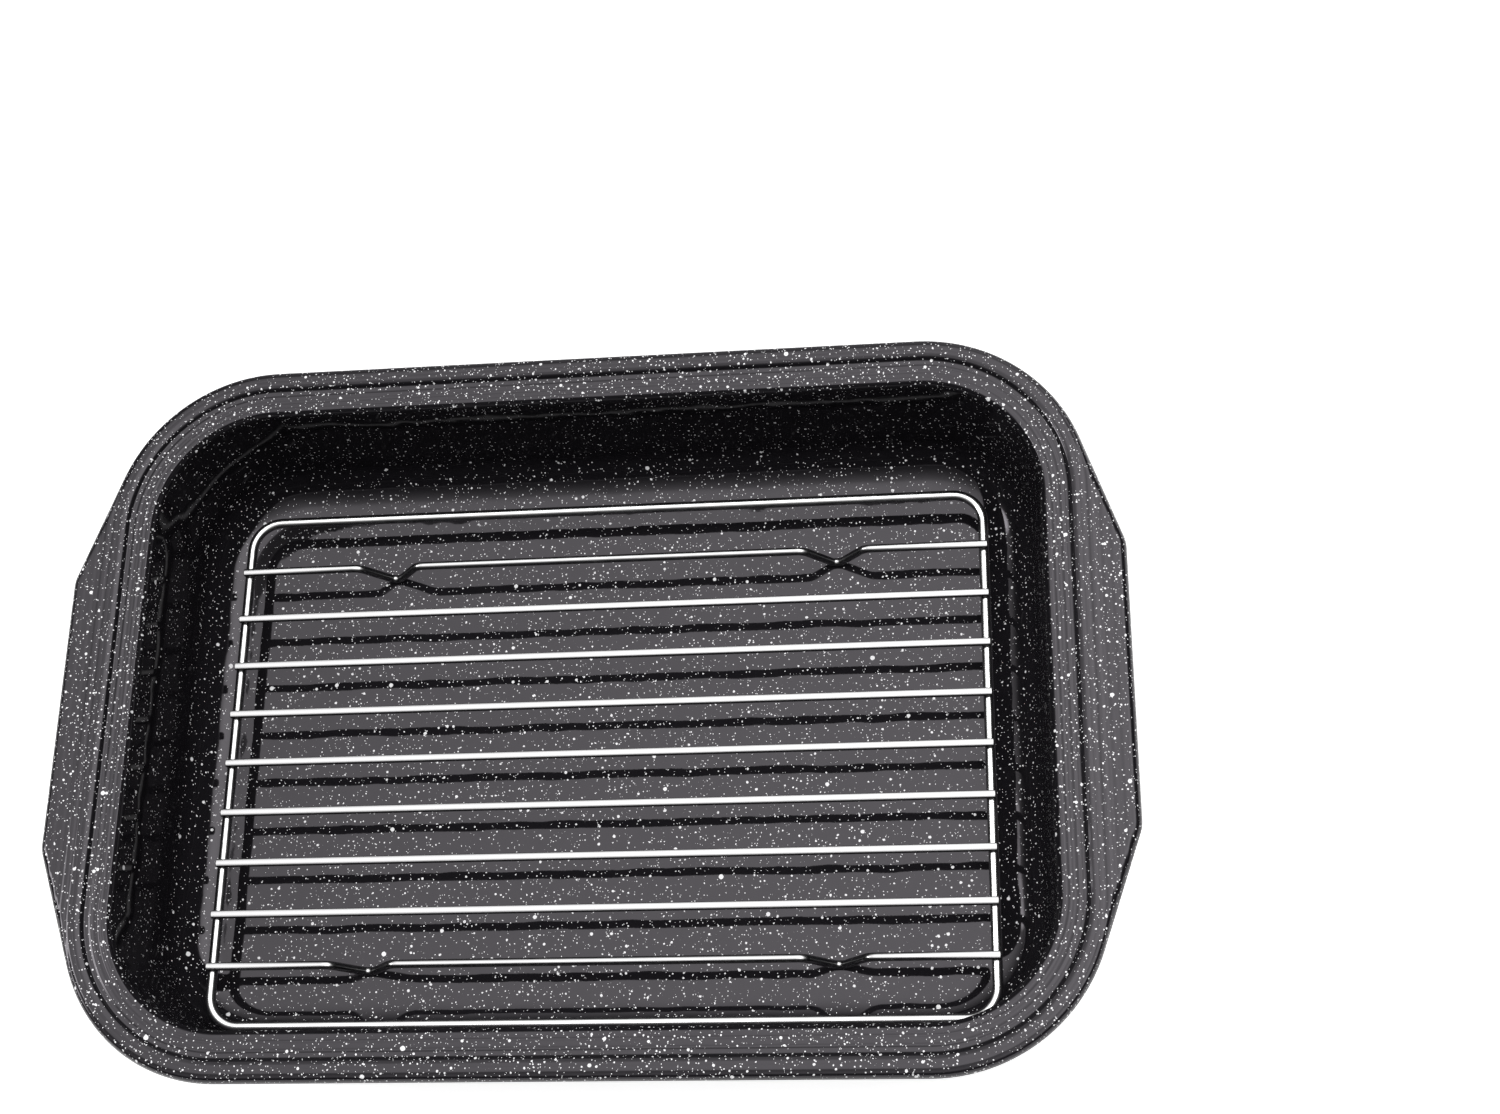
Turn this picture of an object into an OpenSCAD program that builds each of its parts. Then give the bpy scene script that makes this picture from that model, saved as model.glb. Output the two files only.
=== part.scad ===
// Enamelled roasting pan with a wire rack lying in it, in millimetres.
// The origin is the middle of the pan's underside. X runs along the pan from
// wing to wing, Y runs across it from the near side to the far side, Z is up.
//
// Lines that bend, such as the rim's section, the rim's outline and the bent
// wires, are lists of moves: [straight run, turn, radius of the turn].
// A positive turn goes left, in degrees.

/* [Pan] */
// Length of the rim without its wings
pan_l = 423; // [400:1:450]
// Width of the rim
pan_w = 307; // [290:1:330]
// Height of the rim above the table
pan_h = 70.5; // [62:0.5:85]
// Thickness of the enamelled sheet
sheet_t = 1; // [0.8:0.1:1.4]
// Corner radius of the rim's outer edge
corner_r = 71; // [66:0.5:80]
// Lean of the walls from upright, in degrees
wall_lean = 5; // [3:0.5:8]
// Inside radius between the floor and the walls
floor_bend = 19; // [15:0.5:22]

/* [Rim] */
// Inside radius where the wall folds out to the seat for a cover
fold_bend = 2.5; // [1.5:0.1:4]
// Flat width of the seat
seat_w = 8.2; // [6:0.1:11]
// Rise of the step from the seat to the flange
step_h = 2; // [1.6:0.1:3]
// Slope of the step, in degrees
step_slope = 50; // [40:1:60]
// Inside radius of the two bends of the step
step_bend = 1; // [0.6:0.1:1.2]
// Width of the flange from the step to its outer edge
flange_w = 6.4; // [5.5:0.1:9]
// Turn of the flange down into its lip, in degrees
lip_turn = 70; // [50:1:85]
// Inside radius of the turn into the lip
lip_bend = 1.2; // [0.8:0.1:1.6]
// Straight length of the lip
lip_l = 2.4; // [1.5:0.1:4]

/* [Wings] */
// Reach of each wing beyond the rim's length
wing_reach = 12.7; // [8:0.1:18]
// Slant of the wing's two sides away from its straight edge, in degrees
wing_slant = 19.5; // [17:0.5:28]
// Radius of the wing's two corners
wing_bend = 16; // [9:0.5:22]

/* [Rack] */
// Diameter of the frame wire
frame_d = 4.4; // [3.5:0.1:5.5]
// Diameter of the cross wires
cross_d = 3.5; // [2.8:0.1:4.2]
// Height of the cross wires' centre lines above the pan's floor
rack_rise = 17.2; // [14:0.1:22]
// Room between the frame and each end wall of the pan
end_room = 18.4; // [14:0.1:26]
// Room left beside the frame across the pan
side_room = 24.9; // [20:0.1:36]
// Centre-line radius of the frame's corners
frame_bend = 13; // [10:0.5:18]
// Distance from the frame's long sides to the outermost cross wires
end_bay = 24.6; // [18:0.1:30]
// Depth to which the welds sink the cross wires into the frame
weld_sink = 0.5; // [0.2:0.1:0.8]
// Length of a cross wire's end past the centre line of the frame's side
wire_end = 1.7; // [1.7:0.1:3]
// Gap that keeps the loose rack off the pan's corners
rack_gap = 0.3; // [0.3:0.1:1.5]

/* [Feet] */
// Distance of the feet from the middle of the rack
foot_x = 100; // [80:1:115]
// Centre-line radius at the top of a leg
knee_bend = 6; // [4:0.5:8]
// Centre-line radius of the toe
toe_bend = 2.6; // [2.4:0.1:3.2]
// Gap between the toes and the pan's floor
foot_gap = 0.05; // [0.02:0.01:0.2]

/* [Hidden] */
$fn = 64;
// Largest turn between two points on a bend of the sheet, in degrees
bend_step = 9;
// Overlap of the walls' sheet and the flange's sheet where they are one
lap = 0.6;
enamel_black = [0.12, 0.12, 0.13];
chrome = [0.80, 0.80, 0.82];

// Where a line is after one move, as [x, y, heading]
function after(at, move) =
    let (
        side = sign(move[1]),
        corner = [at.x + move[0] * cos(at.z), at.y + move[0] * sin(at.z)],
        pivot = corner + side * move[2] * [-sin(at.z), cos(at.z)],
        heading = at.z + move[1]
    )
    side == 0 ? [corner.x, corner.y, heading]
              : concat(pivot + side * move[2] * [sin(heading), -cos(heading)], [heading]);

// Where each move of a line starts
function starts(moves, at = [0, 0, 0], i = 0) =
    i == len(moves) ? [] : concat([at], starts(moves, after(at, moves[i]), i + 1));

// Points [x, y, heading] along a line, close together on its bends
function trace(moves, at = [0, 0, 0], i = 0) =
    i == len(moves) ? [at] :
    let (
        move = moves[i],
        parts = ceil(abs(move[1]) / bend_step)
    )
    concat(
        move[0] > 0 ? [at] : [],
        parts == 0 ? [] : [
            for (k = [0 : parts - 1]) after(at, [move[0], move[1] * k / parts + 1e-9 * sign(move[1]), move[2]])
        ],
        trace(moves, after(at, move), i + 1)
    );

// Moves round a rectangle with rounded corners, given as half sizes
function loop(half_l, half_w, r) = [
    for (half = [half_l, half_w, half_l, half_w]) [2 * (half - r), 90, r]
];

// Section of a sheet folded along moves; bends are given by their inside radius
module folded_sheet(moves, at) {
    upper = trace([for (m = moves) [m[0], m[1], m[1] < 0 ? m[2] + sheet_t : m[2]]], at);
    lower = [for (p = upper) [p.x + sheet_t * sin(p.z), p.y - sheet_t * cos(p.z)]];
    count = len(upper);
    polygon(concat([for (p = upper) [p.x, p.y]], [for (k = [1 : count]) lower[count - k]]));
}

// Runs a section along moves in the XY plane; the section's X is to the right
module sweep(moves) {
    stations = starts(moves);
    for (i = [0 : len(moves) - 1]) {
        run = moves[i][0];
        turn = moves[i][1];
        bend = moves[i][2];
        translate([stations[i].x, stations[i].y, 0]) rotate(stations[i].z) {
            if (run > 0)
                translate([run, 0, 0]) rotate([90, 0, -90]) linear_extrude(height = run)
                    children();
            if (turn > 0)
                translate([run, bend, 0]) rotate(-90) rotate_extrude(angle = turn)
                    translate([bend, 0]) children();
            if (turn < 0)
                translate([run, -bend, 0]) rotate(90 + turn) rotate_extrude(angle = -turn)
                    translate([bend, 0]) mirror([1, 0]) children();
        }
    }
}

// Starts a sweep at the near left corner of a loop
module round_loop(half_l, half_w, r) {
    translate([r - half_l, -half_w, 0]) sweep(loop(half_l, half_w, r)) children();
}

// Flat rectangle with rounded corners, given as half sizes
module rounded_plate(half_l, half_w, r) {
    square([2 * half_l, 2 * (half_w - r)], center = true);
    square([2 * (half_l - r), 2 * half_w], center = true);
    for (x = [-1, 1], y = [-1, 1]) translate([x * (half_l - r), y * (half_w - r)]) circle(r);
}

// Walls and rim: the section is worked out from the floor's edge outwards
wall_turn = 90 - wall_lean;
wall_h = pan_h - step_h - sheet_t;
bends_h = (floor_bend + fold_bend + sheet_t) * (1 - cos(wall_turn));
wall_run = (wall_h - bends_h) / sin(wall_turn);
step_run = (step_h - (2 * step_bend + sheet_t) * (1 - cos(step_slope))) / sin(step_slope);
wall_moves = [
    [0, wall_turn, floor_bend],
    [wall_run, -wall_turn, fold_bend],
    [seat_w, step_slope, step_bend],
    [step_run, -step_slope, step_bend],
    [2 * lap, 0, 0]
];
wall_out = (floor_bend + fold_bend + sheet_t) * sin(wall_turn) + wall_run * cos(wall_turn)
    + seat_w + (2 * step_bend + sheet_t) * sin(step_slope) + step_run * cos(step_slope);
rim_half_l = pan_l / 2;
rim_half_w = pan_w / 2;
// The floor's edge is kept to a hundredth of a millimetre
floor_inset = ceil(100 * (wall_out + flange_w)) / 100;
floor_half_l = rim_half_l - floor_inset;
floor_half_w = rim_half_w - floor_inset;
floor_r = corner_r - floor_inset;

// Flange and lip: the section runs out from the pan to the rim's outer edge
lip_out = (lip_bend + sheet_t) * sin(lip_turn) + lip_l * cos(lip_turn);
lip_drop = (lip_bend + sheet_t) * (1 - cos(lip_turn)) + lip_l * sin(lip_turn);

// Wings: their edges touch the circle that rounds the wing's corner. The slanted
// side runs a hair inside the rim's rounded corner, so that the two cross.
corner_x = rim_half_l - corner_r;
corner_y = rim_half_w - corner_r;
wing_x = rim_half_l + wing_reach - wing_bend;
wing_dip = 0.0024 * corner_r;
wing_y = ((corner_x - wing_x) * cos(wing_slant) + corner_y * sin(wing_slant)
    + corner_r - wing_dip - wing_bend) / sin(wing_slant);
wing_edges = [-wing_slant, 0, wing_slant];
wing_root = corner_x + corner_r * cos(wing_slant);

// Inner face of the walls at a height above the floor, outwards from the floor's edge
function wall_at(h) =
    h < floor_bend * (1 - cos(wall_turn)) ? sqrt(h * (2 * floor_bend - h)) :
    floor_bend * sin(wall_turn) + (h - floor_bend * (1 - cos(wall_turn))) / tan(wall_turn);

// Rack: its frame lies just under the cross wires, in the room the walls leave
frame_drop = (frame_d + cross_d) / 2 - weld_sink;
frame_rise = rack_rise - frame_drop;
cross_z = sheet_t + rack_rise;
frame_z = sheet_t + frame_rise;
room_half_l = floor_half_l + wall_at(frame_rise);
room_half_w = floor_half_w + wall_at(frame_rise);
room_r = floor_r + wall_at(frame_rise);
// The frame's length is kept to a tenth of a millimetre
frame_half_l = floor(20 * (room_half_l - end_room - frame_d / 2)) / 20;
frame_half_w = room_half_w - (side_room + frame_d) / 2;
// The rack lies towards the near side, where its corners meet the pan's
corner_dx = max(0, frame_half_l - frame_bend - (room_half_l - room_r));
corner_reach = room_r - rack_gap - frame_bend - frame_d / 2;
corner_dy = sqrt(pow(corner_reach, 2) - pow(corner_dx, 2));
rack_y = frame_half_w - frame_bend - corner_dy - (room_half_w - room_r);
pitch = (frame_half_w - end_bay) / 4;
wire_half = frame_half_l + wire_end;

// Feet: each is a V bent down in the wire until its toe is at the floor
// The legs drop 4 for every 3 along
foot_slope = atan(4 / 3);
foot_drop = rack_rise - cross_d / 2 - foot_gap;
leg = (foot_drop - (knee_bend + toe_bend) * (1 - cos(foot_slope))) / sin(foot_slope);
foot_half = (knee_bend + toe_bend) * sin(foot_slope) + leg * cos(foot_slope);
foot_moves = [
    [leg, foot_slope, toe_bend], [0, foot_slope, toe_bend], [leg, -foot_slope, knee_bend]
];
foot_wire_moves = concat(
    [[wire_half - foot_x - foot_half, -foot_slope, knee_bend]], foot_moves,
    [[2 * (foot_x - foot_half), -foot_slope, knee_bend]], foot_moves,
    [[wire_half - foot_x - foot_half, 0, 0]]
);

// Section through the rim: all that lies under its flange and lip, out to the
// edge at X = 0, or the same with the sheet's thickness taken off
module rim_section(depth, under) {
    line = trace([
        [depth - lip_out, -lip_turn, lip_bend + sheet_t],
        [lip_l + (under ? sheet_t : 0), 0, 0]
    ], [-depth, pan_h, 0]);
    skin = under ? sheet_t : 0;
    edge = [for (p = line) [p.x + skin * sin(p.z), p.y - skin * cos(p.z)]];
    polygon(concat([[-depth, edge[len(edge) - 1].y]], edge));
}

// The rim's form with its wings, or the form under its sheet
module rim_form(under) {
    depth = under ? 18 : 16;
    round_loop(rim_half_l, rim_half_w, corner_r) rim_section(depth, under);
    for (end = [0, 180]) rotate(end) intersection() {
        intersection_for (a = wing_edges)
            rotate(a)
                translate([wing_x * cos(a) + wing_y * abs(sin(a)) + wing_bend, 0, 0])
                rotate([90, 0, 0]) linear_extrude(height = 2 * pan_w, center = true)
                rim_section(pan_w, under);
        translate([wing_root, -rim_half_w, 0]) cube([pan_w, pan_w, 2 * pan_h]);
    }
}

// The pan, pressed from one sheet: floor, walls, seat, step, flange, lip and wings
module pan() {
    color(enamel_black) {
        linear_extrude(height = sheet_t) rounded_plate(floor_half_l, floor_half_w, floor_r);
        round_loop(floor_half_l, floor_half_w, floor_r)
            folded_sheet(wall_moves, [0, sheet_t, 0]);
        difference() {
            rim_form(false);
            rim_form(true);
            translate([0, 0, pan_h - 15]) linear_extrude(height = 20) rounded_plate(
                rim_half_l - flange_w + lap, rim_half_w - flange_w + lap,
                corner_r - flange_w + lap
            );
        }
    }
}

// The frame of the rack, one wire bent round and butt-welded
module rack_frame() {
    color(chrome) translate([0, rack_y, frame_z])
        round_loop(frame_half_l, frame_half_w, frame_bend) circle(d = frame_d);
}

// Places a wire across the rack, counted in pitches from its middle, and cuts the
// seats in which it is welded to the frame's sides
module across_rack(place) {
    difference() {
        translate([0, rack_y + place * pitch, cross_z]) children();
        for (x = [-1, 1])
            translate([x * frame_half_l, rack_y + place * pitch, frame_z]) rotate([90, 0, 0])
                cylinder(d = frame_d, h = 2 * cross_d, center = true);
    }
}

// A straight cross wire, numbered from the near side
module straight_wire(number) {
    color(chrome) across_rack(number - 4)
        rotate([0, 90, 0]) cylinder(d = cross_d, h = 2 * wire_half, center = true);
}

// An outermost cross wire with its two feet
module foot_wire(place) {
    color(chrome) across_rack(place)
        translate([-wire_half, 0, 0]) rotate([90, 0, 0]) sweep(foot_wire_moves)
            circle(d = cross_d);
}

module near_foot_wire() { foot_wire(-4); }
module far_foot_wire() { foot_wire(4); }

pan();
rack_frame();
near_foot_wire();
far_foot_wire();
for (n = [1 : 7])
    straight_wire(n);
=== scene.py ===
"""Speckled enamel roasting pan with its wire rack, in a plain soft-lit studio.

Each piece has an operator in the sidebar's Roasting Pan tab. Run as a script, the
file makes them all. Sizes are in metres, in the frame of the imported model.
"""

import math

import bmesh
import bpy
from mathutils import Matrix, Vector


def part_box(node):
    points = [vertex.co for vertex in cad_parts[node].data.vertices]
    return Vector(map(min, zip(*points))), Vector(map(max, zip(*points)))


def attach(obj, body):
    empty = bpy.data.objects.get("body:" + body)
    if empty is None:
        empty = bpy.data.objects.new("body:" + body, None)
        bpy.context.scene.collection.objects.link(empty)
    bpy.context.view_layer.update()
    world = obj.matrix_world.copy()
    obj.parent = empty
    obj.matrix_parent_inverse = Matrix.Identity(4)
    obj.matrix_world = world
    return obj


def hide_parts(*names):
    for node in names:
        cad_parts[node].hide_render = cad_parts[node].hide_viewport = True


bl_info = {
    "name": "Enamel Roasting Pan",
    "version": (1, 0, 0),
    "blender": (4, 5, 0),
    "location": "3D View > Sidebar > Roasting Pan",
    "description": "Models a speckled enamel roasting pan with its wire rack",
    "category": "Object",
}

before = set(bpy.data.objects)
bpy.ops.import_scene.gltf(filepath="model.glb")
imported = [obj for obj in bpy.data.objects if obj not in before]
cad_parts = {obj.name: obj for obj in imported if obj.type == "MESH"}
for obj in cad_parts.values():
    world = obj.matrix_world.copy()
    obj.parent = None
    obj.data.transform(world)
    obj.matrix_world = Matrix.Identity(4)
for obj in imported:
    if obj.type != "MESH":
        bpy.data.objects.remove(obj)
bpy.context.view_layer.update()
BODY = "root"
STRAIGHT_WIRES = ["cross_wire_%d" % n for n in range(1, 8)]
FOOT_WIRES = ["near_foot_wire", "far_foot_wire"]

# Turn from row to row of a bend, and how near its ends a straight run has a row of its own
SHEET_STEP = math.radians(3)
SHEET_HOLD = 0.0004
WIRE_STEP = math.radians(7.5)
WIRE_HOLD = 0.0003

# Sides of a round wire, rows across a rounded edge, and the angle up to which edges look smooth
WIRE_SIDES = 24
EDGE_PARTS = 3
SMOOTH = math.radians(40)

# Size of the plane that becomes a section's first point, and how close points are merged or level
MARK = 0.001
MERGE = 0.00001
TINY = 1e-6

# Scales of the noise, in features per metre
RAG_SCALE = 900.0
WAVE_SCALE = 50.0
PEEL_SCALE = 420.0
RIDGE_SCALE = 330.0
CLOUD_SCALE = 90.0
PIT_SCALE = 700.0

# Raggedness of the flecks, and the soft edge of each as a share of the largest one's radius
RAG = 0.0004
FLECK_EDGE = 0.12

# Heights between which the flecks thin out on the walls, close up on the rim, and the ridges begin
WALL_FLECKS_FROM, WALL_FLECKS_TO = 0.003, 0.012
RIM_FLECKS_FROM, RIM_FLECKS_TO = 0.060, 0.067
RIDGES_FROM, RIDGES_TO = 0.065, 0.068

# Distances from a corner's centre between which the ridges fade, and what the wings keep of them
WING_FROM, WING_TO = 0.069, 0.073
WING_RIDGES = 0.2

# Clouds in the plating: the noise they take, their change of the roughness, and their duller tone
CLOUD_FROM, CLOUD_TO = 0.35, 0.7
CLOUD_ROUGHNESS = 0.3
CLOUD_TONE = 0.94

# What is left of a surface's own brightness where another surface mirrors it: painted shade in the
# reflections of the flecks and the wires, and weaker gloss there for the glaze
FLECKS_LEFT_BY_PAINTED_SHADE = 0.2
MIRRORED_GLOSS = 0.1
WIRE_TONE_OF_PAINTED_SHADE_IN_REFLECTIONS = 0.1
MIRRORED_FLOOR = 0.2

# Steepness of the directions at which the horizon's band ends, and edges of the round lamp
BAND_FROM, BAND_TO = 0.06, 0.2
LAMP_FROM, LAMP_TO = 0.978, 0.9945


# Lines made of straight runs and bends


def after(at, move):
    """Where a line is after one move, as (x, y, heading). A move is (run, turn, radius)."""
    x, y, heading = at
    run, turn, radius = move
    x += run * math.cos(heading)
    y += run * math.sin(heading)
    if not turn:
        return x, y, heading
    side = math.copysign(radius, turn)
    x -= side * math.sin(heading)
    y += side * math.cos(heading)
    heading += turn
    return x + side * math.sin(heading), y - side * math.cos(heading), heading


def trace(moves, at, step, hold):
    """Points along a line, close together on its bends and just beside them."""
    points = [at]
    for run, turn, radius in moves:
        if run > 3 * hold:
            points.append(after(at, (hold, 0, 0)))
            points.append(after(at, (run - hold, 0, 0)))
        parts = math.ceil(abs(turn) / step)
        points += [after(at, (run, turn * k / parts, radius)) for k in range(1, parts + 1)]
        if not parts:
            points.append(after(at, (run, 0, 0)))
        at = after(at, (run, turn, radius))
    return points


# Modelling by the usual tools


def deselect_all():
    if bpy.context.mode != "OBJECT":
        bpy.ops.object.mode_set(mode="OBJECT")
    bpy.ops.object.select_all(action="DESELECT")


def enter_edit():
    bpy.ops.object.mode_set(mode="EDIT")
    bpy.ops.mesh.select_mode(type="VERT")


def pick(kind, test):
    """Selects the "verts" or "edges" for which test is true, and returns how many they are."""
    mesh = bmesh.from_edit_mesh(bpy.context.object.data)
    found = [item for item in getattr(mesh, kind) if test(item)]
    for part in (mesh.faces, mesh.edges, mesh.verts):
        for item in part:
            item.select_set(False)
    for item in found:
        item.select_set(True)
    if kind == "verts":
        mesh.select_flush(True)
    bmesh.update_edit_mesh(bpy.context.object.data)
    return len(found)


def merge_close():
    bpy.ops.mesh.select_all(action="SELECT")
    bpy.ops.mesh.remove_doubles(threshold=MERGE)


def extrude(x, y, z):
    bpy.ops.mesh.extrude_region_move(TRANSFORM_OT_translate={"value": (x, y, z)})


def extrude_run(direction, length, hold):
    """Extrudes what is selected, with a row just beside each end of the run."""
    for part in (hold, length - 2 * hold, hold) if length > 3 * hold else (length,):
        extrude(*(Vector(direction) * part))


def spin(turn, centre, axis, step):
    """Spins what is selected about an axis, the right-handed way, and leaves the new end selected."""
    steps = max(1, math.ceil(abs(turn) / step))
    bpy.ops.mesh.spin(steps=steps, angle=-turn, center=centre, axis=axis)


def draw_section(points):
    """Draws a line through (y, z) points at x = 0, in a new object or in the mesh being edited."""
    if bpy.context.mode == "OBJECT":
        deselect_all()
        bpy.ops.mesh.primitive_plane_add(size=MARK, location=(0, 0, 0))
        enter_edit()
        bpy.ops.mesh.select_all(action="SELECT")
    else:
        bpy.ops.mesh.select_all(action="DESELECT")
        bpy.ops.mesh.primitive_plane_add(size=MARK, location=(0, 0, 0))
    bpy.ops.mesh.merge(type="CENTER")
    bpy.ops.transform.translate(value=(0, points[0][0], points[0][1]))
    for a, b in zip(points, points[1:]):
        extrude(0, b[0] - a[0], b[1] - a[1])


def finish_piece(piece, name, node, material):
    """Names a piece, applies its place, and puts it in the CAD node's stead."""
    deselect_all()
    piece.name = name
    piece.data.name = name
    piece.select_set(True)
    bpy.context.view_layer.objects.active = piece
    bpy.ops.object.transform_apply(location=True, rotation=True, scale=True)
    bpy.ops.object.shade_smooth_by_angle(angle=SMOOTH)
    piece.data.materials.clear()
    piece.data.materials.append(material)
    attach(piece, BODY)
    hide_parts(node)
    deselect_all()


def apply_modifier(piece, kind, **settings):
    """Adds a modifier with its settings and applies it."""
    deselect_all()
    piece.select_set(True)
    bpy.context.view_layer.objects.active = piece
    bpy.ops.object.modifier_add(type=kind)
    modifier = piece.modifiers[-1]
    for key, value in settings.items():
        setattr(modifier, key, value)
    bpy.ops.object.modifier_apply(modifier=modifier.name)


def round_edges(piece, width, degrees):
    """Rounds the edges that turn by more than some degrees."""
    apply_modifier(piece, "BEVEL", width=width, segments=EDGE_PARTS, limit_method="ANGLE",
                   angle_limit=math.radians(degrees))


# Materials


def add_node(tree, kind, **inputs):
    """Adds a node. Inputs are set by name, and a socket given as a value is linked."""
    node = tree.nodes.new(kind)
    for key, value in inputs.items():
        if hasattr(node, key) and key not in node.inputs:
            setattr(node, key, value)
            continue
        socket = node.inputs[int(key[1:])] if key[0] == "_" else node.inputs[key]
        if isinstance(value, bpy.types.NodeSocket):
            tree.links.new(value, socket)
        else:
            socket.default_value = value
    return node


def add_math(tree, operation, a, b=0.0, c=0.0):
    node = add_node(tree, "ShaderNodeMath", operation=operation, _0=a, _1=b, _2=c)
    return node.outputs[0]


def new_material(name):
    """Makes an empty node material and returns it with its shader node."""
    material = bpy.data.materials.new(name)
    material.use_nodes = True
    tree = material.node_tree
    tree.nodes.clear()
    shader = tree.nodes.new("ShaderNodeBsdfPrincipled")
    output = tree.nodes.new("ShaderNodeOutputMaterial")
    tree.links.new(shader.outputs[0], output.inputs[0])
    return material, tree, shader


def fleck_layer():
    """Group that scatters round flecks of mixed sizes, one at most in each cell of space."""
    name = "Fleck layer"
    if name in bpy.data.node_groups:
        return bpy.data.node_groups[name]
    group = bpy.data.node_groups.new(name, "ShaderNodeTree")
    face = group.interface
    face.new_socket("Place", in_out="INPUT", socket_type="NodeSocketVector")
    for title, value in (("Cell size", 0.003), ("Largest radius", 0.0005), ("Share", 0.5)):
        face.new_socket(title, in_out="INPUT", socket_type="NodeSocketFloat").default_value = value
    face.new_socket("Mask", in_out="OUTPUT", socket_type="NodeSocketFloat")
    given = group.nodes.new("NodeGroupInput").outputs
    scale = add_math(group, "DIVIDE", 1.0, given["Cell size"])
    cells = add_node(group, "ShaderNodeTexVoronoi", Vector=given["Place"], Scale=scale)
    chance = add_node(group, "ShaderNodeSeparateColor", Color=cells.outputs["Color"])
    held = add_math(group, "LESS_THAN", chance.outputs[0], given["Share"])
    size = add_math(group, "MULTIPLY_ADD", chance.outputs[1], 0.5, 0.5)
    largest = add_math(group, "MULTIPLY", given["Largest radius"], scale)
    radius = add_math(group, "MULTIPLY", add_math(group, "MULTIPLY", size, largest), held)
    inside = add_math(group, "SUBTRACT", radius, cells.outputs["Distance"])
    edge = add_math(group, "DIVIDE", inside, add_math(group, "MULTIPLY", largest, FLECK_EDGE))
    out = group.nodes.new("NodeGroupOutput")
    clamp = add_node(group, "ShaderNodeClamp", Value=edge)
    group.links.new(clamp.outputs[0], out.inputs["Mask"])
    return group


def add_range(tree, value, start, end, low, high):
    """Goes from low to high while value goes from start to end."""
    node = add_node(tree, "ShaderNodeMapRange", Value=value, _1=start, _2=end, _3=low, _4=high)
    return node.outputs[0]


def add_noise(tree, place, scale, detail, output=0):
    node = add_node(tree, "ShaderNodeTexNoise", Vector=place, Scale=scale, Detail=detail)
    return node.outputs[output]


def add_bump(tree, height, distance, under=None):
    """Adds a bump, laid over the bump that is under it."""
    laid = {"Normal": under} if under else {}
    node = add_node(tree, "ShaderNodeBump", Strength=1.0, Distance=distance, Height=height, **laid)
    return node.outputs[0]


def rim_ridges(tree, place, corner):
    """Height of faint ridges that run round with the rim and fade on the wings. They follow the
    distance from the centre of each corner's bend, which is at corner in its quarter."""
    reach = place
    for operation, given in (("ABSOLUTE", (0, 0, 0)), ("SUBTRACT", (*corner, 1)), ("MAXIMUM", (0, 0, 0))):
        reach = add_node(tree, "ShaderNodeVectorMath", operation=operation, _0=reach, _1=given).outputs[0]
    reach = add_node(tree, "ShaderNodeVectorMath", operation="LENGTH", _0=reach).outputs["Value"]
    ridge = add_node(tree, "ShaderNodeTexNoise", noise_dimensions="1D", W=reach, Scale=RIDGE_SCALE,
                     Detail=1.0).outputs[0]
    return add_math(tree, "MULTIPLY", ridge, add_range(tree, reach, WING_FROM, WING_TO, 1.0, WING_RIDGES))


def enamel(name, look, corner):
    """Glossy black enamel with white flecks in four sizes, closer together on the rim."""
    material, tree, shader = new_material(name)
    place = add_node(tree, "ShaderNodeTexCoord").outputs["Object"]
    rag = add_noise(tree, place, RAG_SCALE, 1.0, "Color")
    ragged = add_node(tree, "ShaderNodeVectorMath", operation="MULTIPLY_ADD", _0=rag,
                      _1=(RAG, RAG, RAG), _2=place).outputs[0]
    height = add_node(tree, "ShaderNodeSeparateXYZ", Vector=place).outputs["Z"]
    wall = add_range(tree, height, WALL_FLECKS_FROM, WALL_FLECKS_TO, 1.0, look.wall_flecks)
    rim = add_range(tree, height, RIM_FLECKS_FROM, RIM_FLECKS_TO, wall, look.rim_flecks)
    mask = 0.0
    for cell, radius, share in zip(look.fleck_cells, look.fleck_radii, look.fleck_shares):
        layer = add_node(tree, "ShaderNodeGroup", node_tree=fleck_layer())
        tree.links.new(ragged, layer.inputs["Place"])
        layer.inputs["Cell size"].default_value = cell
        layer.inputs["Largest radius"].default_value = radius
        tree.links.new(add_math(tree, "MULTIPLY", rim, share), layer.inputs["Share"])
        mask = add_math(tree, "MAXIMUM", mask, layer.outputs["Mask"])
    # Painted shade in reflections: where another surface mirrors the enamel, its flecks keep only a fifth
    # of their white and its gloss is weakened
    mirrored = add_node(tree, "ShaderNodeLightPath").outputs["Is Glossy Ray"]
    fleck_share_after_painted_shade = add_math(tree, "MULTIPLY_ADD", mirrored, FLECKS_LEFT_BY_PAINTED_SHADE - 1.0, 1.0)
    colour = add_node(tree, "ShaderNodeMix", data_type="RGBA", _0=add_math(tree, "MULTIPLY", mask, fleck_share_after_painted_shade),
                      _6=(*look.black, 1), _7=(*look.white, 1))
    tree.links.new(colour.outputs[2], shader.inputs["Base Color"])
    shader.inputs["Specular IOR Level"].default_value = look.gloss
    gloss = add_math(tree, "MULTIPLY_ADD", mirrored, MIRRORED_GLOSS - look.gloss, look.gloss)
    tree.links.new(gloss, shader.inputs["Specular IOR Level"])
    shader.inputs["Specular Tint"].default_value = (*look.tint, 1)
    shader.inputs["Roughness"].default_value = look.roughness
    shader.inputs["IOR"].default_value = look.refraction
    raised = add_range(tree, height, RIDGES_FROM, RIDGES_TO, 0.0, 1.0)
    ridges = add_math(tree, "MULTIPLY", rim_ridges(tree, place, corner), raised)
    broad = add_bump(tree, add_noise(tree, place, WAVE_SCALE, 1.0), look.wave)
    drawn = add_bump(tree, ridges, look.ridge, broad)
    fine = add_bump(tree, add_noise(tree, place, PEEL_SCALE, 2.0), look.peel, drawn)
    tree.links.new(fine, shader.inputs["Normal"])
    return material


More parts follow.
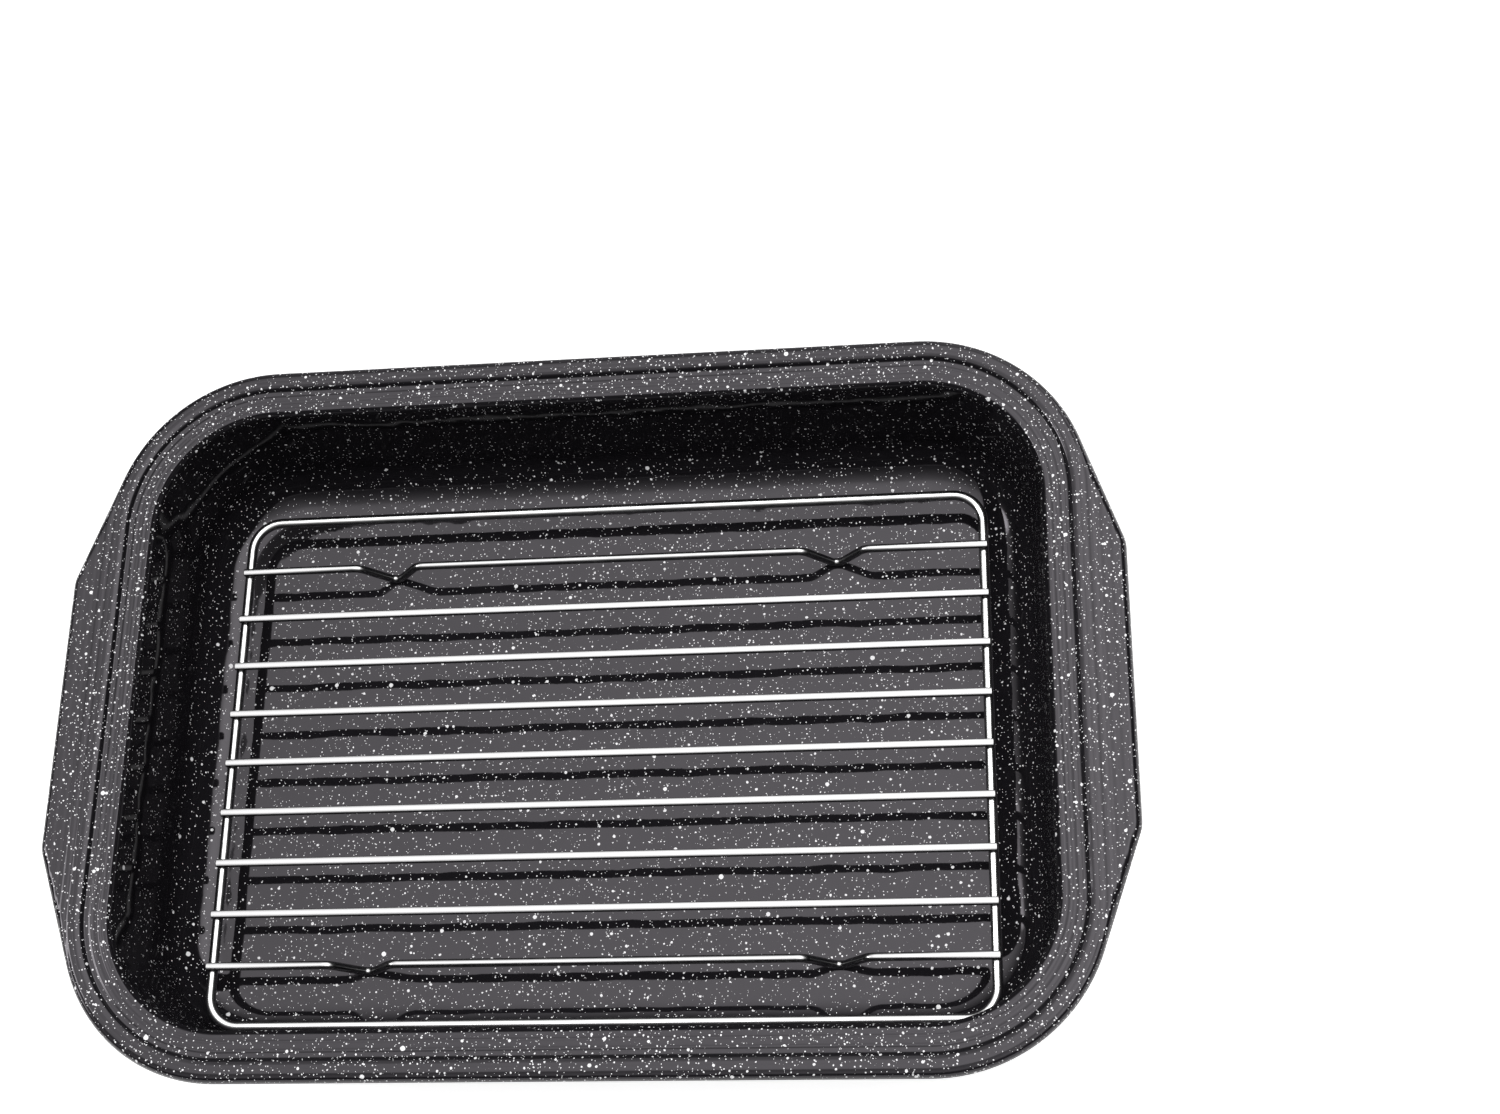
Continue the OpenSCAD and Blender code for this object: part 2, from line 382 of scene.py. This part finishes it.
def bright_wire(name, look, colour):
    """Bright plated wire, with a slight unevenness in its tone and polish and fine pits."""
    material, tree, shader = new_material(name)
    place = add_node(tree, "ShaderNodeTexCoord").outputs["Object"]
    cloud = add_noise(tree, place, CLOUD_SCALE, 3.0)
    rough = add_range(tree, cloud, CLOUD_FROM, CLOUD_TO, look.roughness * (1 - CLOUD_ROUGHNESS),
                      look.roughness * (1 + CLOUD_ROUGHNESS))
    tree.links.new(rough, shader.inputs["Roughness"])
    tone = add_node(tree, "ShaderNodeMix", data_type="RGBA", _0=cloud,
                    _6=(*[c * CLOUD_TONE for c in colour], 1), _7=(*colour, 1)).outputs[2]
    # Painted shade in reflections: where another surface mirrors the wire, its plating is painted nearly
    # black
    mirrored = add_node(tree, "ShaderNodeLightPath").outputs["Is Glossy Ray"]
    seen = add_node(tree, "ShaderNodeMix", data_type="RGBA", _0=mirrored, _6=tone,
                    _7=(WIRE_TONE_OF_PAINTED_SHADE_IN_REFLECTIONS, WIRE_TONE_OF_PAINTED_SHADE_IN_REFLECTIONS, WIRE_TONE_OF_PAINTED_SHADE_IN_REFLECTIONS, 1))
    tree.links.new(seen.outputs[2], shader.inputs["Base Color"])
    shader.inputs["Metallic"].default_value = 1.0
    pits = add_bump(tree, add_noise(tree, place, PIT_SCALE, 2.0), look.pits)
    tree.links.new(pits, shader.inputs["Normal"])
    return material


def made(name, maker, *given):
    """Returns a material, made the first time that it is asked for."""
    return bpy.data.materials.get(name) or maker(name, *given)


# Settings


class PanSettings(bpy.types.PropertyGroup):
    """Sizes of the pan's pressed sheet"""

    length: bpy.props.FloatProperty(
        name="Length", description="Length of the rim without its wings", default=0.423, unit="LENGTH")
    width: bpy.props.FloatProperty(
        name="Width", description="Width of the rim", default=0.307, unit="LENGTH")
    height: bpy.props.FloatProperty(
        name="Height", description="Height of the rim above the table", default=0.0705, unit="LENGTH")
    sheet: bpy.props.FloatProperty(
        name="Sheet", description="Thickness of the enamelled sheet", default=0.001, unit="LENGTH")
    edge_round: bpy.props.FloatProperty(
        name="Edge round", description="Rounding of the sheet's edge, as a share of its thickness",
        default=0.3, min=0, max=0.5)
    corner: bpy.props.FloatProperty(
        name="Corner", description="Corner radius of the rim's outer edge", default=0.071, unit="LENGTH")
    lean: bpy.props.FloatProperty(
        name="Wall lean", description="Lean of the walls from upright",
        default=math.radians(5), subtype="ANGLE")
    floor_bend: bpy.props.FloatProperty(
        name="Floor bend", description="Inside radius between floor and walls",
        default=0.019, unit="LENGTH")
    fold_bend: bpy.props.FloatProperty(
        name="Fold bend", description="Inside radius where the wall folds out",
        default=0.0025, unit="LENGTH")
    seat: bpy.props.FloatProperty(
        name="Seat", description="Flat width of the cover's seat", default=0.0071, unit="LENGTH")
    step_height: bpy.props.FloatProperty(
        name="Step height", description="Rise from the seat to the flange", default=0.002, unit="LENGTH")
    step_slope: bpy.props.FloatProperty(
        name="Step slope", description="Slope of the step", default=math.radians(42), subtype="ANGLE")
    step_bend: bpy.props.FloatProperty(
        name="Step bend", description="Inside radius of the step's bends", default=0.0015, unit="LENGTH")
    flange: bpy.props.FloatProperty(
        name="Flange", description="Width from the step to the outer edge",
        default=0.0068, unit="LENGTH")
    lip_turn: bpy.props.FloatProperty(
        name="Lip turn", description="Turn of the flange down into its lip",
        default=math.radians(70), subtype="ANGLE")
    lip_bend: bpy.props.FloatProperty(
        name="Lip bend", description="Inside radius of the turn into the lip",
        default=0.0025, unit="LENGTH")
    lip: bpy.props.FloatProperty(
        name="Lip", description="Straight length of the lip", default=0.0015, unit="LENGTH")
    wing_reach: bpy.props.FloatProperty(
        name="Wing reach", description="Reach of each wing beyond the rim",
        default=0.0127, unit="LENGTH")
    wing_slant: bpy.props.FloatProperty(
        name="Wing slant", description="Slant of the wing's sides",
        default=math.radians(19.5), subtype="ANGLE")
    wing_bend: bpy.props.FloatProperty(
        name="Wing bend", description="Radius of the wing's corners", default=0.016, unit="LENGTH")


class EnamelSettings(bpy.types.PropertyGroup):
    """Colours and flecks of the enamel"""

    black: bpy.props.FloatVectorProperty(
        name="Black", description="Colour between the flecks",
        default=(0.0102, 0.0094, 0.0112), subtype="COLOR")
    white: bpy.props.FloatVectorProperty(
        name="White", description="Colour of the flecks", default=(0.93, 0.93, 0.94), subtype="COLOR")
    roughness: bpy.props.FloatProperty(
        name="Roughness", description="Roughness of the glaze", default=0.045, min=0, max=1)
    gloss: bpy.props.FloatProperty(
        name="Gloss", description="Strength of the glaze's reflections", default=0.5, min=0, max=1)
    tint: bpy.props.FloatVectorProperty(
        name="Tint", description="Tint of the glaze's reflections",
        default=(0.98, 0.93, 1.0), subtype="COLOR")
    refraction: bpy.props.FloatProperty(
        name="Refraction", description="Refractive index of the glaze", default=1.52, min=1, max=2)
    fleck_cells: bpy.props.FloatVectorProperty(
        name="Fleck cells", description="Spacing of the flecks, from the finest to the largest",
        default=(0.0013, 0.002, 0.0032, 0.005), size=4, precision=4, unit="LENGTH")
    fleck_radii: bpy.props.FloatVectorProperty(
        name="Fleck radii", description="Largest radius of the flecks",
        default=(0.00028, 0.00044, 0.0007, 0.0011), size=4, precision=5, unit="LENGTH")
    fleck_shares: bpy.props.FloatVectorProperty(
        name="Fleck shares", description="Share of the places that hold a fleck",
        default=(0.7, 0.55, 0.24, 0.08), size=4, min=0, max=1)
    rim_flecks: bpy.props.FloatProperty(
        name="Rim flecks", description="How much closer the flecks lie on the rim",
        default=1.5, min=1, max=3)
    wall_flecks: bpy.props.FloatProperty(
        name="Wall flecks", description="Share of the floor's flecks that the walls have",
        default=0.6, min=0, max=3)
    wave: bpy.props.FloatProperty(
        name="Wave", description="Depth of the sheet's slow waves",
        default=0.0003, precision=5, unit="LENGTH")
    ridge: bpy.props.FloatProperty(
        name="Ridge", description="Depth of the rim's faint ridges",
        default=0.001, precision=5, unit="LENGTH")
    peel: bpy.props.FloatProperty(
        name="Peel", description="Depth of the glaze's fine ripple",
        default=0.000008, precision=6, unit="LENGTH")


class WireSettings(bpy.types.PropertyGroup):
    """Sizes and finish of the rack's wires"""

    frame_bend: bpy.props.FloatProperty(
        name="Frame bend", description="Centre-line radius of the frame's corners",
        default=0.013, unit="LENGTH")
    knee_bend: bpy.props.FloatProperty(
        name="Knee bend", description="Centre-line radius at the top of a leg",
        default=0.006, unit="LENGTH")
    toe_bend: bpy.props.FloatProperty(
        name="Toe bend", description="Centre-line radius of a toe", default=0.0034, unit="LENGTH")
    foot_x: bpy.props.FloatProperty(
        name="Foot place", description="Distance of the feet from the rack's middle",
        default=0.1, unit="LENGTH")
    foot_slope: bpy.props.FloatProperty(
        name="Foot slope", description="Slope of a foot's legs",
        default=math.atan2(4, 3), subtype="ANGLE")
    burr: bpy.props.FloatProperty(
        name="End round", description="Rounding of the cut ends",
        default=0.0004, precision=5, unit="LENGTH")
    # One plating in two colours: made lighter on the frame wire as a painted highlight and darker on the
    # cross wires as painted shade, to suit how the light falls on them
    frame_plating_with_painted_highlight: bpy.props.FloatVectorProperty(
        name="Frame colour", description="Plating of the thick frame wire",
        default=(0.86, 0.855, 0.86), subtype="COLOR")
    cross_plating_with_painted_shade: bpy.props.FloatVectorProperty(
        name="Cross wire colour", description="Plating of the thin wires",
        default=(0.58, 0.575, 0.58), subtype="COLOR")
    roughness: bpy.props.FloatProperty(
        name="Roughness", description="Roughness of the plating", default=0.2, min=0, max=1)
    pits: bpy.props.FloatProperty(
        name="Pits", description="Depth of the plating's fine pits",
        default=0.000004, precision=6, unit="LENGTH")


class StageSettings(bpy.types.PropertyGroup):
    """Floor, light and camera"""

    floor_size: bpy.props.FloatProperty(
        name="Floor size", description="Length of the floor's sides", default=12.0, unit="LENGTH")
    floor_gap: bpy.props.FloatProperty(
        name="Floor gap", description="Distance of the floor below the pan",
        default=0.00002, precision=5, unit="LENGTH")
    floor_colour: bpy.props.FloatVectorProperty(
        name="Floor", description="Colour of the floor", default=(0.8, 0.8, 0.8), subtype="COLOR")
    floor_glow: bpy.props.FloatProperty(
        name="Floor glow", description="What the camera sees added to the floor's light",
        default=0.72, min=0, max=1)
    light: bpy.props.FloatProperty(
        name="Light", description="Brightness of the softbox overhead", default=3.0, min=0)
    across: bpy.props.FloatVectorProperty(
        name="Across",
        description="Share of the light from the left horizon to the right one, every 11.25 degrees",
        default=(0, 0, 0.02, 0.2, 0.35, 0.5, 0.58, 0.68, 0.78, 0.9, 1, 0.85, 0.2, 0.03, 0, 0, 0),
        size=17, min=0, max=1)
    along: bpy.props.FloatVectorProperty(
        name="Along",
        description="Share of the light from the near horizon to the far one, every 11.25 degrees",
        default=(0, 0, 0, 0.04, 0.12, 0.26, 0.48, 0.9, 1, 1, 0.98, 0.88, 0.68, 0.45, 0.2, 0.05, 0),
        size=17, min=0, max=1)
    lamp: bpy.props.FloatProperty(
        name="Lamp", description="Brightness of the round lamp at the left", default=6.0, min=0)
    lamp_way: bpy.props.FloatVectorProperty(
        name="Lamp direction", description="Direction of the round lamp",
        default=(-0.76, 0.05, 0.65), subtype="XYZ")
    horizon: bpy.props.FloatProperty(
        name="Horizon", description="Brightness of the room at the horizon", default=0.25, min=0, max=1)
    dark: bpy.props.FloatProperty(
        name="Dark", description="Brightness of the room above the horizon", default=0.02, min=0, max=1)
    lens: bpy.props.FloatProperty(
        name="Lens", description="Focal length in millimetres", default=56.3375)
    camera_place: bpy.props.FloatVectorProperty(
        name="Camera place", description="Where the camera stands",
        default=(0.19517, -0.27999, 0.97206), subtype="XYZ")
    camera_right: bpy.props.FloatVectorProperty(
        name="Camera right", description="Direction to the image's right",
        default=(0.989293, 0.012998, -0.145363))
    camera_up: bpy.props.FloatVectorProperty(
        name="Camera up", description="Direction to the image's top",
        default=(0.044156, 0.922687, 0.383013))
    camera_shift: bpy.props.FloatVectorProperty(
        name="Camera shift", description="Shift of the view", size=2, default=(0.0196, -0.064133))


# Pieces


class PANMAKER_OT_pan(bpy.types.Operator):
    """Model the pan from one sheet and enamel it"""

    bl_idname = "pan_maker.pan"
    bl_label = "Pan"

    def execute(self, context):
        s = context.scene.pan_sizes
        step, hold = SHEET_STEP, SHEET_HOLD
        wall_turn = math.pi / 2 - s.lean
        bends = (s.floor_bend + s.fold_bend + s.sheet) * (1 - math.cos(wall_turn))
        wall_run = (s.height - s.step_height - s.sheet - bends) / math.sin(wall_turn)
        step_rise = (2 * s.step_bend + s.sheet) * (1 - math.cos(s.step_slope))
        step_run = (s.step_height - step_rise) / math.sin(s.step_slope)
        outer_lip = s.lip_bend + s.sheet
        lip_out = outer_lip * math.sin(s.lip_turn) + s.lip * math.cos(s.lip_turn)
        seam = lip_out + hold
        moves = [
            (0, wall_turn, s.floor_bend),
            (wall_run, -wall_turn, s.fold_bend + s.sheet),
            (s.seat, s.step_slope, s.step_bend),
            (step_run, -s.step_slope, s.step_bend + s.sheet),
        ]
        end = (0, s.sheet, 0)
        for move in moves:
            end = after(end, move)
        floor_inset = end[0] + s.flange
        corner = corner_x, corner_y = (s.length / 2 - s.corner, s.width / 2 - s.corner)
        tub = trace(moves + [(s.flange - seam, 0, 0)],
                    (s.width / 2 - floor_inset, s.sheet, 0), step, hold)
        lip = trace([(hold, -s.lip_turn, outer_lip), (s.lip, 0, 0)],
                    (s.width / 2 - seam, s.height, 0), step, hold)
        wing_x = s.length / 2 + s.wing_reach - s.wing_bend
        tilt = Vector((math.cos(s.wing_slant), math.sin(s.wing_slant), 0))
        wing_y = ((corner_x - wing_x) * tilt.x + corner_y * tilt.y + s.corner - s.wing_bend) / tilt.y
        side = Vector((tilt.y, -tilt.x, 0))
        side_run = (Vector((wing_x - corner_x, wing_y - corner_y, 0))).dot(side)
        first, second = -(math.pi / 2 - s.wing_slant), -s.wing_slant

        # Walls and rim of one quarter, swept from the middle of the far side
        draw_section(tub)
        pan = context.object
        bpy.ops.mesh.select_all(action="SELECT")
        extrude_run((1, 0, 0), corner_x, hold)
        spin(first, (*corner, 0), (0, 0, 1), step)
        spin(second, (*corner, 0), (0, 0, 1), step)
        extrude_run((0, -1, 0), corner_y, hold)

        # Lip of the quarter, which leaves the rim's corner to go round the wing
        draw_section(lip)
        start = lip[0][0] - TINY
        pick("verts", lambda v: abs(v.co.x) < TINY and v.co.y > start and not v.link_faces)
        extrude_run((1, 0, 0), corner_x, hold)
        spin(first, (*corner, 0), (0, 0, 1), step)
        extrude_run(side, side_run, hold)
        spin(second, (wing_x, wing_y, 0), (0, 0, 1), step)
        extrude_run((0, -1, 0), wing_y, hold)
        merge_close()

        # The wing's flat, between the rim and the lip
        level = s.height - TINY
        ends = [s.length / 2 - seam, s.length / 2 + s.wing_reach - seam]
        found = pick("verts", lambda v: (v.co.y < TINY and min(abs(v.co.x - x) for x in ends) < TINY
                                         and v.co.z > level))
        if found != 2:
            raise RuntimeError("the wing's flat has %d ends" % found)
        bpy.ops.mesh.edge_face_add()
        pick("edges", lambda e: (len(e.link_faces) < 2 and all(v.co.z > level for v in e.verts)
                                 and (any(v.co.y >= TINY for v in e.verts) or not e.link_faces)
                                 and any(v.co.x >= TINY for v in e.verts)))
        bpy.ops.mesh.edge_face_add()
        deselect_all()
        apply_modifier(pan, "MIRROR", use_axis=(True, True, False), use_clip=True, merge_threshold=MERGE)

        # Floor, then the sheet's thickness and its rounded edge
        enter_edit()
        pick("edges", lambda e: (len(e.link_faces) == 1
                                 and all(abs(v.co.z - s.sheet) < TINY for v in e.verts)))
        bpy.ops.mesh.edge_face_add()
        bpy.ops.mesh.inset(thickness=s.sheet)
        merge_close()
        bpy.ops.mesh.normals_make_consistent(inside=False)
        mesh = bmesh.from_edit_mesh(pan.data)
        floor = max(mesh.faces, key=lambda f: f.calc_area())
        if floor.normal.z < 0:
            bpy.ops.mesh.flip_normals()
        deselect_all()
        apply_modifier(pan, "SOLIDIFY", thickness=s.sheet, offset=-1.0, use_even_offset=True)
        round_edges(pan, s.sheet * s.edge_round, degrees=55)
        material = made("Speckled enamel", enamel, context.scene.enamel_look, corner)
        finish_piece(pan, "enamel_pan", "pan", material)
        return {"FINISHED"}


def bend_wire(radius, start, heading, normal, moves):
    """Runs a round wire along moves in the plane square to normal. Leaves its end selected."""
    deselect_all()
    turn = Vector((0, 0, 1)).rotation_difference(Vector(heading)).to_euler()
    bpy.ops.mesh.primitive_circle_add(
        vertices=WIRE_SIDES, radius=radius, fill_type="NOTHING", location=start, rotation=turn)
    wire = bpy.context.object
    bpy.ops.object.transform_apply(location=True, rotation=True, scale=True)
    enter_edit()
    bpy.ops.mesh.select_all(action="SELECT")
    at, way, normal = Vector(start), Vector(heading), Vector(normal)
    for run, angle, bend in moves:
        if run:
            extrude_run(way, run, WIRE_HOLD)
            at = at + way * run
        if angle:
            centre = at + normal.cross(way) * math.copysign(bend, angle)
            spin(angle, centre, normal, WIRE_STEP)
            swing = Matrix.Rotation(angle, 3, normal)
            at, way = centre + swing @ (at - centre), swing @ way
    mesh = bmesh.from_edit_mesh(wire.data)
    picked = [v.co for v in mesh.verts if v.select]
    middle = sum(picked, Vector()) / len(picked)
    if (middle - at).length > MERGE:
        raise RuntimeError("a wire's end is at %s and not at %s" % (middle, at))
    return wire


def close_ends(wire, burr):
    """Caps a wire's two open ends and rounds their edges."""
    bpy.ops.mesh.select_all(action="SELECT")
    bpy.ops.mesh.fill_holes(sides=0)
    bpy.ops.mesh.normals_make_consistent(inside=False)
    deselect_all()
    round_edges(wire, burr, degrees=60)


class PANMAKER_OT_frame(bpy.types.Operator):
    """Bend the rack's frame wire into its loop"""

    bl_idname = "pan_maker.frame"
    bl_label = "Rack frame"

    def execute(self, context):
        s = context.scene.wire_sizes
        low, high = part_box("rack_frame")
        radius = (high[2] - low[2]) / 2
        middle = (low[1] + high[1]) / 2
        half_l, half_w = (high[0] - low[0]) / 2 - radius, (high[1] - low[1]) / 2 - radius
        bend = s.frame_bend
        long_run, short_run = 2 * (half_l - bend), 2 * (half_w - bend)
        turn = math.pi / 2
        moves = [(long_run / 2, turn, bend), (short_run, turn, bend), (long_run, turn, bend),
                 (short_run, turn, bend), (long_run / 2, 0, 0)]
        wire = bend_wire(radius, (0, middle - half_w, low[2] + radius), (1, 0, 0), (0, 0, 1), moves)
        merge_close()
        bpy.ops.mesh.normals_make_consistent(inside=False)
        deselect_all()
        material = made("Plated frame wire", bright_wire, s, s.frame_plating_with_painted_highlight)
        finish_piece(wire, "rack_frame_wire", "rack_frame", material)
        return {"FINISHED"}


class PANMAKER_OT_feet(bpy.types.Operator):
    """Bend the two outermost cross wires with their feet"""

    bl_idname = "pan_maker.feet"
    bl_label = "Foot wires"

    def execute(self, context):
        s = context.scene.wire_sizes
        material = made("Plated cross wire", bright_wire, s, s.cross_plating_with_painted_shade)
        for node in FOOT_WIRES:
            low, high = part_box(node)
            radius = (high[1] - low[1]) / 2
            half = (high[0] - low[0]) / 2
            top = high[2] - radius
            drop = top - radius - low[2]
            bends = s.knee_bend + s.toe_bend
            leg = (drop - bends * (1 - math.cos(s.foot_slope))) / math.sin(s.foot_slope)
            foot = bends * math.sin(s.foot_slope) + leg * math.cos(s.foot_slope)
            legs = [(leg, 2 * s.foot_slope, s.toe_bend), (leg, -s.foot_slope, s.knee_bend)]
            tail = half - s.foot_x - foot
            moves = [(tail, -s.foot_slope, s.knee_bend), *legs,
                     (2 * (s.foot_x - foot), -s.foot_slope, s.knee_bend), *legs, (tail, 0, 0)]
            wire = bend_wire(radius, (-half, (low[1] + high[1]) / 2, top), (1, 0, 0), (0, -1, 0), moves)
            close_ends(wire, s.burr)
            finish_piece(wire, node + "_bent", node, material)
        return {"FINISHED"}


class PANMAKER_OT_wires(bpy.types.Operator):
    """Make one straight cross wire and copy it to each place"""

    bl_idname = "pan_maker.wires"
    bl_label = "Cross wires"

    def execute(self, context):
        s = context.scene.wire_sizes
        material = made("Plated cross wire", bright_wire, s, s.cross_plating_with_painted_shade)
        low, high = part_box(STRAIGHT_WIRES[0])
        radius = (high[1] - low[1]) / 2
        length = high[0] - low[0]
        start = (low[0], (low[1] + high[1]) / 2, high[2] - radius)
        first = bend_wire(radius, start, (1, 0, 0), (0, 0, 1), [(length, 0, 0)])
        close_ends(first, s.burr)
        wires = [first]
        for node in STRAIGHT_WIRES[1:]:
            copy = first.copy()
            copy.data = first.data.copy()
            context.collection.objects.link(copy)
            copy.location = (0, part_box(node)[0][1] - low[1], 0)
            wires.append(copy)
        for wire, node in zip(wires, STRAIGHT_WIRES):
            finish_piece(wire, node + "_drawn", node, material)
        return {"FINISHED"}


class PANMAKER_OT_stage(bpy.types.Operator):
    """Add the floor, the light all round with its small lamp, and the camera"""

    bl_idname = "pan_maker.stage"
    bl_label = "Stage"

    def execute(self, context):
        s = context.scene.stage_look
        deselect_all()
        bpy.ops.mesh.primitive_plane_add(size=s.floor_size, location=(0, 0, -s.floor_gap))
        floor = context.object
        floor.name = "studio_floor"
        floor.data.materials.append(self.floor_material(s))
        self.surroundings(context.scene, s)
        camera = bpy.data.objects.new("camera", bpy.data.cameras.new("camera"))
        context.collection.objects.link(camera)
        right, up = Vector(s.camera_right).normalized(), Vector(s.camera_up).normalized()
        back = right.cross(up)
        turn = Matrix((right, up, back)).transposed().to_4x4()
        camera.matrix_world = Matrix.Translation(s.camera_place) @ turn
        camera.data.lens, camera.data.sensor_width = s.lens, 36.0
        camera.data.shift_x, camera.data.shift_y = s.camera_shift
        context.scene.camera = camera
        context.scene.view_settings.view_transform = "Standard"
        deselect_all()
        return {"FINISHED"}

    def floor_material(self, s):
        """Pale floor, which the camera sees as white beside the object's shadow."""
        material, tree, shader = new_material("Studio floor")
        shader.inputs["Base Color"].default_value = (*s.floor_colour, 1)
        shader.inputs["Roughness"].default_value = 0.9
        shader.inputs["Specular IOR Level"].default_value = 0.0
        path = add_node(tree, "ShaderNodeLightPath")
        seen = add_math(tree, "MULTIPLY_ADD", path.outputs["Is Glossy Ray"], MIRRORED_FLOOR,
                        path.outputs["Is Camera Ray"])
        glow = add_math(tree, "MULTIPLY", seen, s.floor_glow)
        shader.inputs["Emission Color"].default_value = (1, 1, 1, 1)
        tree.links.new(glow, shader.inputs["Emission Strength"])
        return material

    def surroundings(self, scene, s):
        """White behind the object, a soft light overhead that fades towards the near side, a
        faint band round the horizon and a small round lamp at the left."""
        world = bpy.data.worlds.new("Studio")
        scene.world = world
        world.use_nodes = True
        tree = world.node_tree
        tree.nodes.clear()
        sight = add_node(tree, "ShaderNodeTexCoord").outputs["Generated"]
        way = add_node(tree, "ShaderNodeSeparateXYZ", Vector=sight).outputs
        light = s.light
        for axis, levels in ((0, s.across), (1, s.along)):
            tilt = add_math(tree, "ARCTAN2", way[axis], way[2])
            part = add_math(tree, "MULTIPLY_ADD", tilt, 1 / math.pi, 0.5)
            curve = add_node(tree, "ShaderNodeFloatCurve", Value=part)
            points = curve.mapping.curves[0].points
            for k, level in enumerate(levels):
                at = (k / (len(levels) - 1), level)
                if k < 2:
                    points[k].location = at
                else:
                    points.new(*at)
            curve.mapping.update()
            light = add_math(tree, "MULTIPLY", light, curve.outputs[0])
        near = add_node(tree, "ShaderNodeVectorMath", operation="DOT_PRODUCT", _0=sight,
                        _1=Vector(s.lamp_way).normalized()).outputs["Value"]
        light = add_math(tree, "ADD", light, add_range(tree, near, LAMP_FROM, LAMP_TO, 0.0, s.lamp))
        above = add_math(tree, "GREATER_THAN", way[2], 0.0)
        low = add_range(tree, way[2], BAND_FROM, BAND_TO, s.horizon, s.dark)
        light = add_math(tree, "MULTIPLY_ADD", light, above, low)
        seen = add_node(tree, "ShaderNodeLightPath").outputs["Is Camera Ray"]
        level = add_node(tree, "ShaderNodeMix", data_type="FLOAT", _0=seen, _2=light, _3=1.0).outputs[0]
        back = add_node(tree, "ShaderNodeBackground", Color=(1, 1, 1, 1), Strength=level)
        out = tree.nodes.new("ShaderNodeOutputWorld")
        tree.links.new(back.outputs[0], out.inputs[0])


class PANMAKER_PT_panel(bpy.types.Panel):
    """Makers of the roasting pan's pieces"""

    bl_idname = "PANMAKER_PT_panel"
    bl_label = "Roasting Pan"
    bl_space_type = "VIEW_3D"
    bl_region_type = "UI"
    bl_category = "Roasting Pan"

    def draw(self, context):
        for maker in MAKERS:
            self.layout.operator(maker.bl_idname)
        for group in ("pan_sizes", "enamel_look", "wire_sizes", "stage_look"):
            box = self.layout.box()
            settings = getattr(context.scene, group)
            for name in settings.__annotations__:
                box.prop(settings, name)


MAKERS = [PANMAKER_OT_pan, PANMAKER_OT_frame, PANMAKER_OT_feet, PANMAKER_OT_wires, PANMAKER_OT_stage]
SETTINGS = {
    "pan_sizes": PanSettings,
    "enamel_look": EnamelSettings,
    "wire_sizes": WireSettings,
    "stage_look": StageSettings,
}


def register():
    for name, settings in SETTINGS.items():
        bpy.utils.register_class(settings)
        setattr(bpy.types.Scene, name, bpy.props.PointerProperty(type=settings))
    for item in MAKERS + [PANMAKER_PT_panel]:
        bpy.utils.register_class(item)


def unregister():
    for item in [PANMAKER_PT_panel] + MAKERS[::-1]:
        bpy.utils.unregister_class(item)
    for name, settings in SETTINGS.items():
        delattr(bpy.types.Scene, name)
        bpy.utils.unregister_class(settings)


def main():
    register()
    bpy.ops.pan_maker.pan()
    bpy.ops.pan_maker.frame()
    bpy.ops.pan_maker.feet()
    bpy.ops.pan_maker.wires()
    bpy.ops.pan_maker.stage()


if __name__ == "__main__":
    main()
